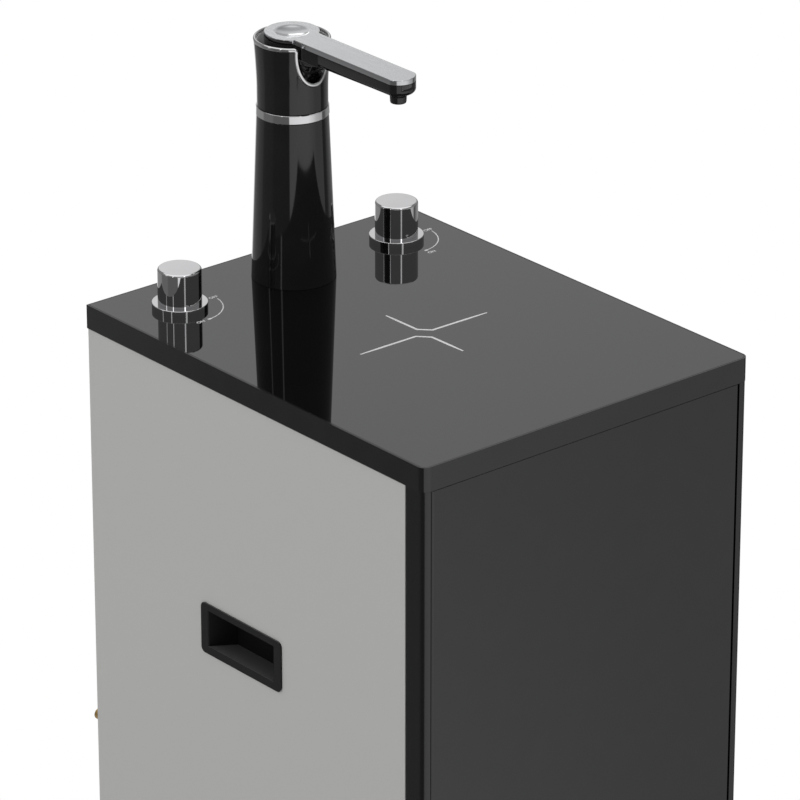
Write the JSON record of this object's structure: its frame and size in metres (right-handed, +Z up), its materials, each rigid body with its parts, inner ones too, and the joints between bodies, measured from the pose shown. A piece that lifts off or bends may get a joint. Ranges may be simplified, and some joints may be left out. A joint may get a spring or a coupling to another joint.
{
  "type": "reverse osmosis water purifier",
  "caption": "Floor-standing cabinet water purifier: black glass top with a swivelling spout on a tapered column, turning chrome taps, hinged service door, filters and tank inside.",
  "frame": {"origin": "on the floor, at the centre of the footprint's box, fittings on the back included", "axes": "+Z up, the front with its door looks towards -Y, +X to the right seen from the front"},
  "size_m": [0.321, 0.438, 1.1003],
  "materials": {
    "black_plastic": "fine satin, black",
    "black_gloss": "polished, black",
    "black_glass": "polished glass, black behind",
    "grey_panel": "even satin, light grey",
    "back_grey": "matte, dark grey",
    "rubber": "matte",
    "chrome": "polished",
    "satin_steel": "satin",
    "steel": "plain",
    "brass": "turned",
    "white_plastic": "satin, white",
    "blue_plastic": "satin, blue",
    "tube_plastic": "smooth, milky",
    "tank_paint": "gloss paint, white",
    "bracket_paint": "satin paint, light grey",
    "motor_paint": "satin paint, grey",
    "magnet": "dull"
  },
  "bodies": {
    "cabinet": {"plinth": "black_plastic", "feet": "rubber", "left_panel": "grey_panel", "right_panel": "grey_panel", "back_panel": "back_grey", "left_post": "black_plastic", "right_post": "black_plastic", "top_cap": "black_gloss", "top_glass": "black_glass", "left_grip": "black_plastic", "right_grip": "black_plastic", "hinge_pins": "steel", "door_magnet": "magnet", "back_screws": "steel", "faucet_gasket": "rubber", "faucet_column": "black_gloss", "swivel_ring": "chrome", "swivel_bush": "white_plastic", "faucet_shank": "brass", "faucet_washer": "steel", "faucet_locknut": "brass", "left_collar": "chrome", "right_collar": "chrome", "left_valve": "brass", "right_valve": "brass", "filter_bracket": "bracket_paint", "prefilter_heads": "blue_plastic", "prefilter_bowls": "white_plastic", "prefilter_cartridges": "white_plastic", "membrane_housing": "white_plastic", "membrane_cap": "blue_plastic", "post_filters": "white_plastic", "filter_clips": "white_plastic", "pump_motor": "motor_paint", "pump_head_block": "black_plastic", "power_supply": "black_plastic", "storage_tank": "tank_paint", "tank_stand": "black_plastic", "tank_valve": "white_plastic", "solenoid_valve": "white_plastic", "pressure_switch": "black_plastic", "water_tubes": "tube_plastic", "inlet_fitting": "brass", "drain_fitting": "white_plastic", "power_gland": "black_plastic"},
    "door": {"front_door": "black_gloss", "door_striker": "steel"},
    "spout": {"faucet_head": "black_gloss", "head_trim": "chrome", "spout_arm": "black_gloss", "spout_cover": "satin_steel", "spout_nozzle": "black_gloss", "head_spindle": "brass", "spindle_clip": "steel", "spindle_seals": "rubber"},
    "left_tap": {"left_knob": "chrome", "left_stem": "brass"},
    "right_tap": {"right_knob": "chrome", "right_stem": "brass"},
    "tank_tap": {"tank_lever": "blue_plastic"}
  },
  "joints": [
    {"name": "door_hinge", "type": "hinge", "parent": "cabinet", "child": "door", "pos_m": [-0.1494, -0.216, 0.47], "axis": [0, 0, -1], "range_deg": [0, 95]},
    {"name": "spout_swivel", "type": "hinge", "parent": "cabinet", "child": "spout", "pos_m": [0, 0.126, 1.04], "axis": [0, 0, 1], "range_deg": [-90, 90]},
    {"name": "left_tap_turn", "type": "hinge", "parent": "cabinet", "child": "left_tap", "pos_m": [-0.108, 0.131, 0.91], "axis": [0, 0, -1], "range_deg": [0, 90]},
    {"name": "right_tap_turn", "type": "hinge", "parent": "cabinet", "child": "right_tap", "pos_m": [0.108, 0.131, 0.91], "axis": [0, 0, -1], "range_deg": [0, 90]},
    {"name": "tank_tap_turn", "type": "hinge", "parent": "cabinet", "child": "tank_tap", "pos_m": [0, 0.056, 0.398], "axis": [0, 0, -1], "range_deg": [0, 90]}
  ]
}
